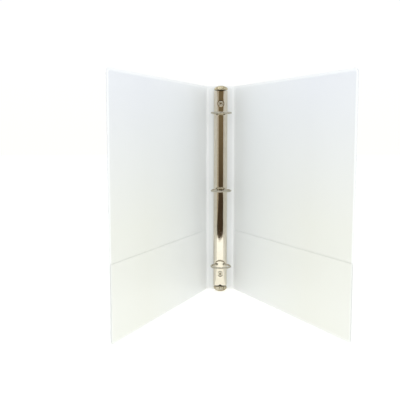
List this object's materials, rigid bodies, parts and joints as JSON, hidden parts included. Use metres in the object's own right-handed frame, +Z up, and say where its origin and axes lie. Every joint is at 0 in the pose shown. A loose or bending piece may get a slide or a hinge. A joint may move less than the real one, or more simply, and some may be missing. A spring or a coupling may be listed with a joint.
{
  "type": "ring binder",
  "caption": "View binder with padded covers, clear overlays, inner pockets, and a round-ring mechanism with a lever at each end on its spine.",
  "frame": {"origin": "foot of the spine, at its middle, on the inner face of the spine's liner", "axes": "+Z up along the spine, +X to the right, and +Y outwards through the spine, so the open side faces -Y"},
  "size_m": [0.26, 0.2437, 0.292],
  "materials": {
    "white_vinyl": "glossy",
    "clear_film": "glossy, clear",
    "chipboard": "matte",
    "printed_insert": "printed",
    "printed_label": "printed",
    "nickel": "polished nickel plate"
  },
  "bodies": {
    "spine": {"spine_board": "chipboard", "spine_outer_skin": "white_vinyl", "spine_liner": "white_vinyl", "spine_clear_overlay": "clear_film", "spine_label": "printed_label", "front_hinge_weld": "white_vinyl", "back_hinge_weld": "white_vinyl", "ring_rail": "nickel", "top_rivet": "nickel", "bottom_rivet": "nickel"},
    "front_cover": {"front_board": "chipboard", "front_outer_skin": "white_vinyl", "front_liner": "white_vinyl", "front_clear_overlay": "clear_film", "front_pocket": "white_vinyl", "cover_insert": "printed_insert"},
    "back_cover": {"back_board": "chipboard", "back_outer_skin": "white_vinyl", "back_liner": "white_vinyl", "back_clear_overlay": "clear_film", "back_pocket": "white_vinyl"},
    "left_plate": {"left_hinge_plate": "nickel", "left_ring_bottom": "nickel", "left_ring_middle": "nickel", "left_ring_top": "nickel"},
    "right_plate": {"right_hinge_plate": "nickel", "right_ring_bottom": "nickel", "right_ring_middle": "nickel", "right_ring_top": "nickel"},
    "top_lever": {"top_lever": "nickel"},
    "bottom_lever": {"bottom_lever": "nickel"}
  },
  "joints": [
    {"name": "front_cover_hinge", "type": "hinge", "parent": "spine", "child": "front_cover", "pos_m": [-0.0196, 0, 0.146], "axis": [0, 0, -1], "range_deg": [-24.5, 155.5]},
    {"name": "back_cover_hinge", "type": "hinge", "parent": "spine", "child": "back_cover", "pos_m": [0.0196, 0, 0.146], "axis": [0, 0, 1], "range_deg": [-24.5, 155.5]},
    {"name": "left_rings_open", "type": "hinge", "parent": "spine", "child": "left_plate", "pos_m": [-0.0082, -0.0019, 0.146], "axis": [0, 0, -1], "range_deg": [0, 11]},
    {"name": "right_rings_open", "type": "hinge", "parent": "spine", "child": "right_plate", "pos_m": [0.0082, -0.0019, 0.146], "axis": [0, 0, 1], "range_deg": [0, 11]},
    {"name": "top_lever_press", "type": "hinge", "parent": "spine", "child": "top_lever", "pos_m": [0, -0.0017, 0.282], "axis": [-1, 0, 0], "range_deg": [0, 12]},
    {"name": "bottom_lever_press", "type": "hinge", "parent": "spine", "child": "bottom_lever", "pos_m": [0, -0.0017, 0.01], "axis": [1, 0, 0], "range_deg": [0, 12]}
  ],
  "couplings": [
    {"joint": "right_rings_open", "follows": "left_rings_open", "ratio": 1},
    {"joint": "top_lever_press", "follows": "left_rings_open", "ratio": 1.0909},
    {"joint": "bottom_lever_press", "follows": "left_rings_open", "ratio": 1.0909}
  ]
}
